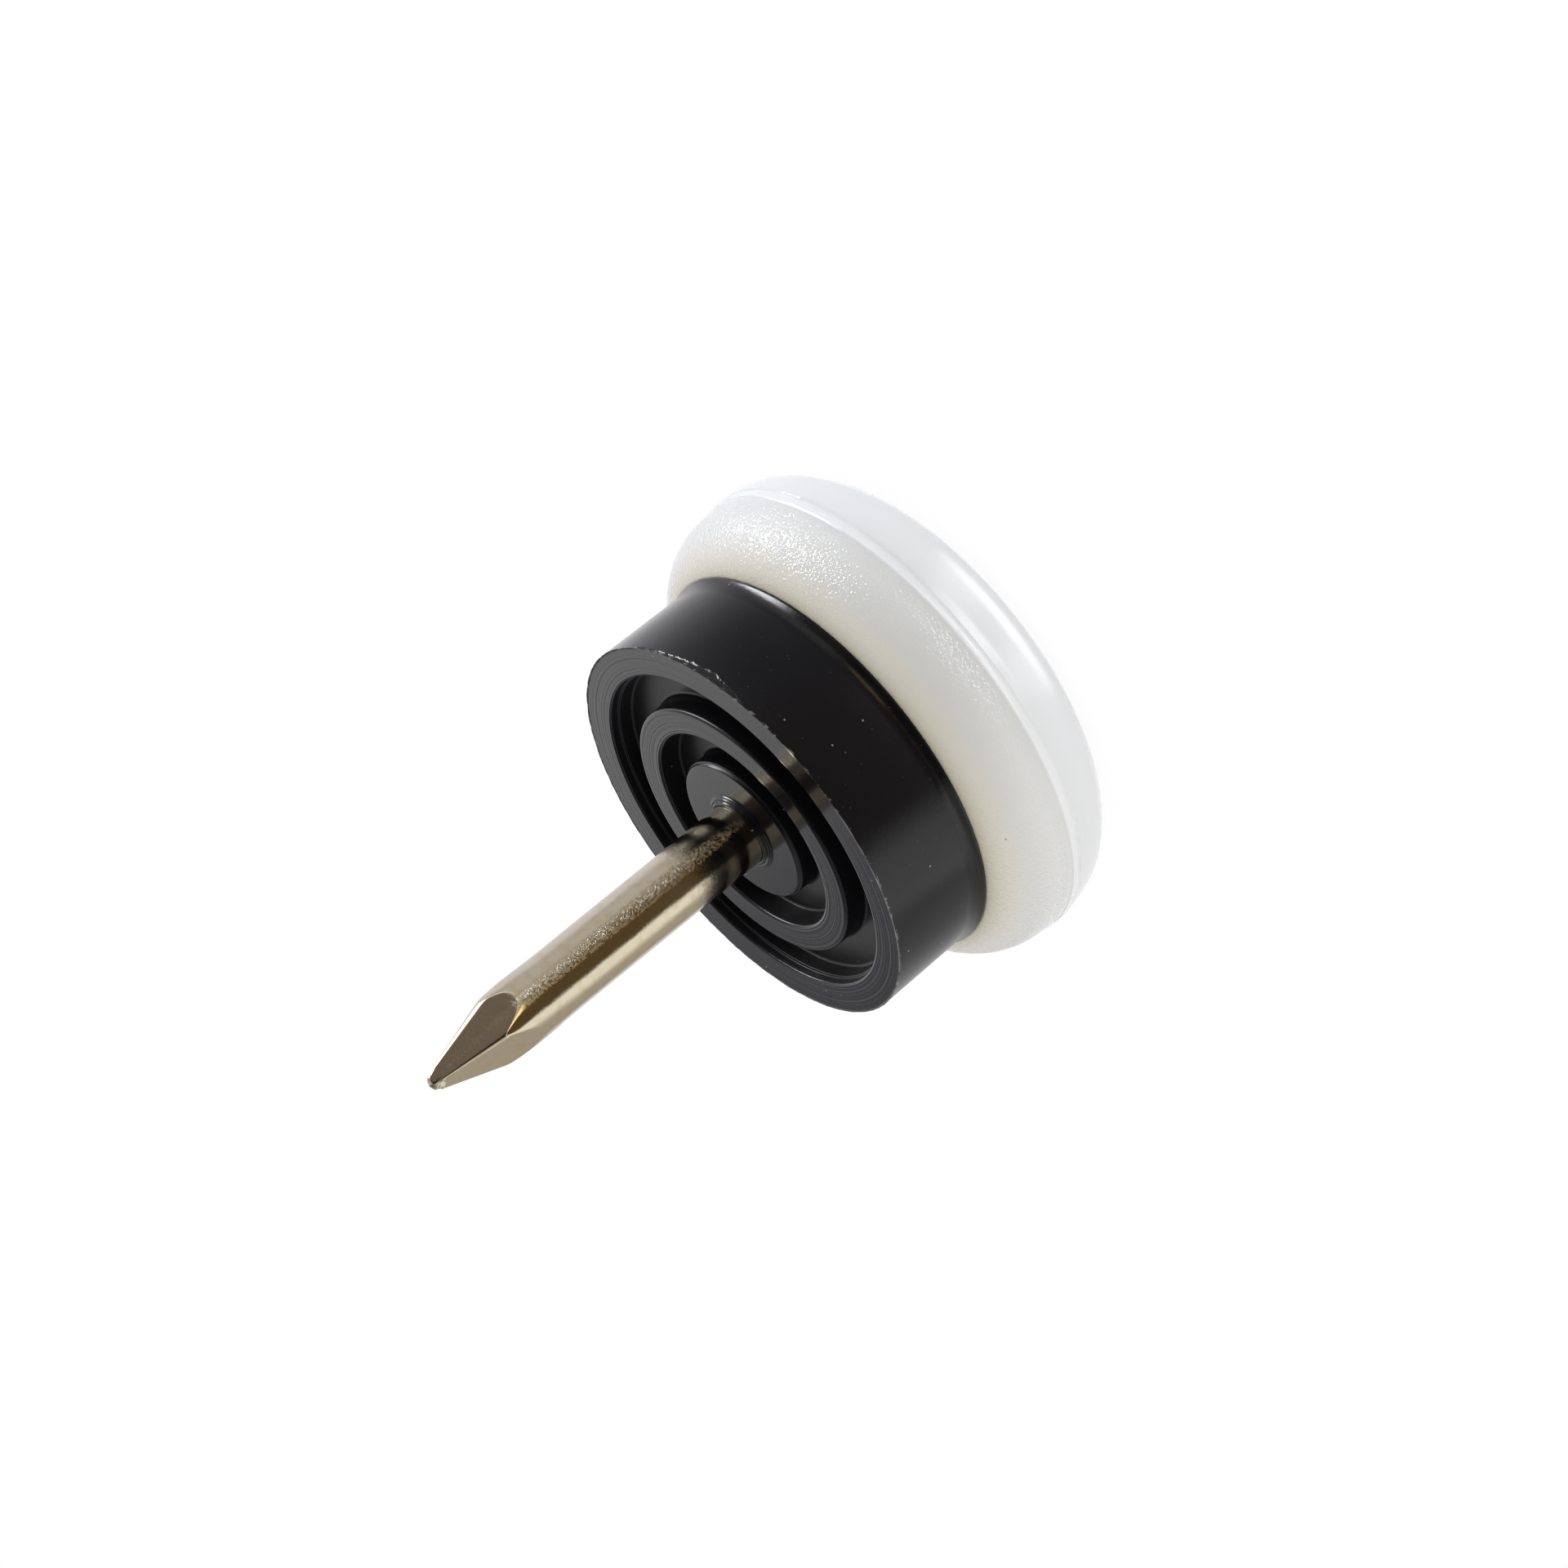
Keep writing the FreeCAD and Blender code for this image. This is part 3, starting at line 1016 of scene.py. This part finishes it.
# %% [markdown]
# ## What the gloss reflects
#
# A polished nail is only as good as what it mirrors. The shank mirrors the table round the part, so a
# flat ring of card lies there, dark brown towards the camera and pale to the sides, with a golden strip
# far out in front that lights the edge of the point's flat. Close to the part lie two bright strips, which
# the round lower edge of the base mirrors. Only reflections see the card. The level black faces mirror
# what stands far behind, which the world gives, paler on the right.

# %% Tones of the card
dark_brown = (0.10, 0.070, 0.034)
table_stops = [
    (-180, (0.80, 0.80, 0.82)),
    (-146, (0.75, 0.75, 0.78)),
    (-132, (0.42, 0.39, 0.36)),
    (-112, (0.45, 0.42, 0.38)),
    (-94, (0.49, 0.46, 0.42)),
    (-72, (1.0, 1.0, 0.98)),
    (-50, (1.0, 1.0, 0.98)),
    (-42, dark_brown),
    (10, dark_brown),
    (30, (0.20, 0.17, 0.12)),
    (44, (0.50, 0.49, 0.48)),
    (72, (0.56, 0.55, 0.55)),
    (92, (0.53, 0.52, 0.55)),
    (112, (0.76, 0.76, 0.84)),
    (180, (0.82, 0.82, 0.86)),
]
wall_stops = [
    (-180, (0.80, 0.80, 0.82)),
    (-112, (0.45, 0.44, 0.44)),
    (-84, (0.48, 0.47, 0.46)),
    (-76, (0.90, 0.90, 0.90)),
    (-52, (0.90, 0.90, 0.90)),
    (-36, (0.15, 0.13, 0.125)),
    (20, (0.17, 0.145, 0.14)),
    (44, (0.16, 0.15, 0.16)),
    (76, (0.27, 0.26, 0.29)),
    (112, (0.72, 0.72, 0.75)),
    (140, (1.0, 1.0, 1.02)),
    (180, (1.0, 1.0, 1.02)),
]
in_front = window(-24, -4, 4, 24)
far_ahead = window(2, 8, 24, 30)
print("table tones at", len(table_stops), "turns")

# %% [markdown]
# The card is a flat ring of faces that starts under the base's edge.

# %% Lay the card
ring_steps = 96
card_radii = (0.0093, 0.023, 0.090, 0.450)
ring_places = []
for radius in card_radii:
    for step in range(ring_steps):
        turn = 2 * math.pi * step / ring_steps
        ring_places.append((radius * math.cos(turn), radius * math.sin(turn), paper_gap))
ring_faces = []
for band in range(len(card_radii) - 1):
    inner = band * ring_steps
    outer = inner + ring_steps
    for step in range(ring_steps):
        after = (step + 1) % ring_steps
        ring_faces.append((inner + step, outer + step, outer + after, inner + after))
card_mesh = bpy.data.meshes.new("table_card")
card_mesh.from_pydata(ring_places, [], ring_faces)
card = add_object("table_card", card_mesh)
for kind in ("camera", "diffuse", "shadow", "transmission", "volume_scatter"):
    setattr(card, "visible_" + kind, False)
print("card laid round the part")

# %% [markdown]
# The card's paint changes with the distance from the part: pale and with two bright strips close by, the
# tones round the part further out, and the golden strip beyond. Each zone is blended over the last.

# %% Paint the card
card_paint = bpy.data.materials.new("toned_card")
tree = empty_tree(card_paint)
place = add_node(tree, "ShaderNodeTexCoord").outputs["Object"]
in_mm = add_node(tree, "ShaderNodeVectorMath", {0: place, "Scale": 1 / MM}, operation="SCALE").outputs[0]
radius = add_node(tree, "ShaderNodeVectorMath", {0: in_mm}, operation="LENGTH").outputs["Value"]
all_round = add_node(tree, "ShaderNodeValue").outputs[0]
all_round.default_value = 1.0
near_front = tones_round(tree, place, in_front)
far_front = tones_round(tree, place, far_ahead)
tones = tones_round(tree, place, table_stops)
wall_tones = tones_round(tree, place, wall_stops)
for start, end, tone, where in (
    (39, 36, wall_tones, all_round),
    (85, 95, (1.9, 1.4, 0.8, 1), far_front),
    (23, 22, (1.0, 1.0, 1.03, 1), all_round),
    (20.0, 19.0, (6.0, 6.0, 6.1, 1), near_front),
    (16.4, 15.4, (1.0, 1.0, 1.03, 1), near_front),
    (12.3, 11.7, (5.0, 5.0, 5.1, 1), near_front),
    (11.4, 10.8, (1.18, 1.18, 1.2, 1), all_round),
):
    share = add_node(tree, "ShaderNodeMapRange", {
        "Value": radius, "From Min": start, "From Max": end,
    }).outputs["Result"]
    share = add_node(tree, "ShaderNodeMath", {0: share, 1: where}, operation="MULTIPLY").outputs[0]
    tones = add_node(tree, "ShaderNodeMix", {0: share, 6: tones, 7: tone}, data_type="RGBA").outputs[2]
glow = add_node(tree, "ShaderNodeEmission", {"Color": tones, "Strength": 1.0}).outputs[0]
add_node(tree, "ShaderNodeOutputMaterial", {"Surface": glow})
card_mesh.materials.append(card_paint)
print("card painted")

# %% [markdown]
# ## Light
#
# The world is soft and even, as in a white tent, and two weak lamps shape it. Reflections see neither:
# they see the tent's own tones and one bright soft box low on the right, which gives the glitter on the
# grained shoulder.

# %% World
world = bpy.data.worlds.new("white_tent")
bpy.context.scene.world = world
tree = empty_tree(world)
direction = add_node(tree, "ShaderNodeTexCoord").outputs["Generated"]
grey_brown = (0.165, 0.133, 0.112)
tent_stops = [
    (-180, (0.31, 0.31, 0.33)),
    (-110, (0.31, 0.31, 0.33)),
    (-94, (0.5, 0.49, 0.46)),
    (-52, (0.5, 0.49, 0.46)),
    (-42, (0.03, 0.026, 0.022)),
    (28, (0.03, 0.026, 0.022)),
    (42, grey_brown),
    (66, grey_brown),
    (78, (1.0, 1.0, 1.0)),
    (180, (1.0, 1.0, 1.0)),
]
tones = tones_round(tree, direction, tent_stops)
height = add_node(tree, "ShaderNodeSeparateXYZ", {"Vector": direction}).outputs["Z"]
fade = add_node(tree, "ShaderNodeMapRange", {
    "Value": height, "From Min": 0.36, "From Max": 0.60, "To Min": 1.0, "To Max": 0.5,
}).outputs["Result"]
mirrored = add_node(tree, "ShaderNodeBackground", {"Color": tones, "Strength": fade}).outputs[0]
in_box = tones_round(tree, direction, window(74, 88, 106, 120))
box_height = add_node(tree, "ShaderNodeMapRange", {
    "Value": height, "From Min": 0.34, "From Max": 0.20,
}).outputs["Result"]
in_box = add_node(tree, "ShaderNodeMath", {0: in_box, 1: box_height}, operation="MULTIPLY").outputs[0]
box = add_node(tree, "ShaderNodeBackground", {"Color": (0.96, 0.98, 1.0, 1), "Strength": 16.0}).outputs[0]
mirrored = add_node(tree, "ShaderNodeMixShader", {0: in_box, 1: mirrored, 2: box}).outputs[0]
warm_front = tones_round(tree, direction, [
    (-180, (0.97, 0.98, 1.0)),
    (-100, (0.97, 0.98, 1.0)),
    (-40, (1.0, 0.99, 0.965)),
    (40, (1.0, 0.99, 0.965)),
    (100, (0.97, 0.98, 1.0)),
    (180, (0.97, 0.98, 1.0)),
])
even = add_node(tree, "ShaderNodeBackground", {"Color": warm_front, "Strength": 0.515}).outputs[0]
white = add_node(tree, "ShaderNodeBackground", {"Color": (1, 1, 1, 1), "Strength": 1.0}).outputs[0]
ray = add_node(tree, "ShaderNodeLightPath").outputs
lit = add_node(tree, "ShaderNodeMixShader", {0: ray["Is Glossy Ray"], 1: even, 2: mirrored}).outputs[0]
lit = add_node(tree, "ShaderNodeMixShader", {0: ray["Is Camera Ray"], 1: lit, 2: white}).outputs[0]
add_node(tree, "ShaderNodeOutputWorld", {"Surface": lit})
print("tent tones at", len(tent_stops), "turns")

# %% [markdown]
# The lamps are soft boxes, placed from the camera's side: the key on the right, the fill on the upper left.

# %% Lamps
def soft_lamp(name, direction, distance, size, power, colour):
    """A soft box, wide and high, in a direction given as right, away and up from the camera."""
    data = bpy.data.lights.new(name, "AREA")
    data.shape = "RECTANGLE"
    data.size, data.size_y = size
    data.energy = power
    data.color = linear(colour)[:3]
    lamp = add_object(name, data)
    lamp.visible_glossy = False
    aim = (to_right * direction[0] - to_front * direction[1] + to_top * direction[2]).normalized()
    facing = aim.to_track_quat("Z", "Y").to_matrix().to_4x4()
    lamp.matrix_world = Matrix.Translation(aim * distance) @ facing
    print(name, "lamp at", [round(value, 3) for value in lamp.location])


soft_lamp("key", (0.966, 0.13, 0.22), 0.45, (0.34, 0.19), 1.05, "#F3F7FF")
soft_lamp("fill", (-0.85, -0.15, 0.50), 0.6, (0.40, 0.40), 1.05, "#FFFDFA")

# %% [markdown]
# ## Finish
#
# The colours are shown as they are written, without a film look.

# %% Finish
bpy.context.scene.view_settings.view_transform = "Standard"
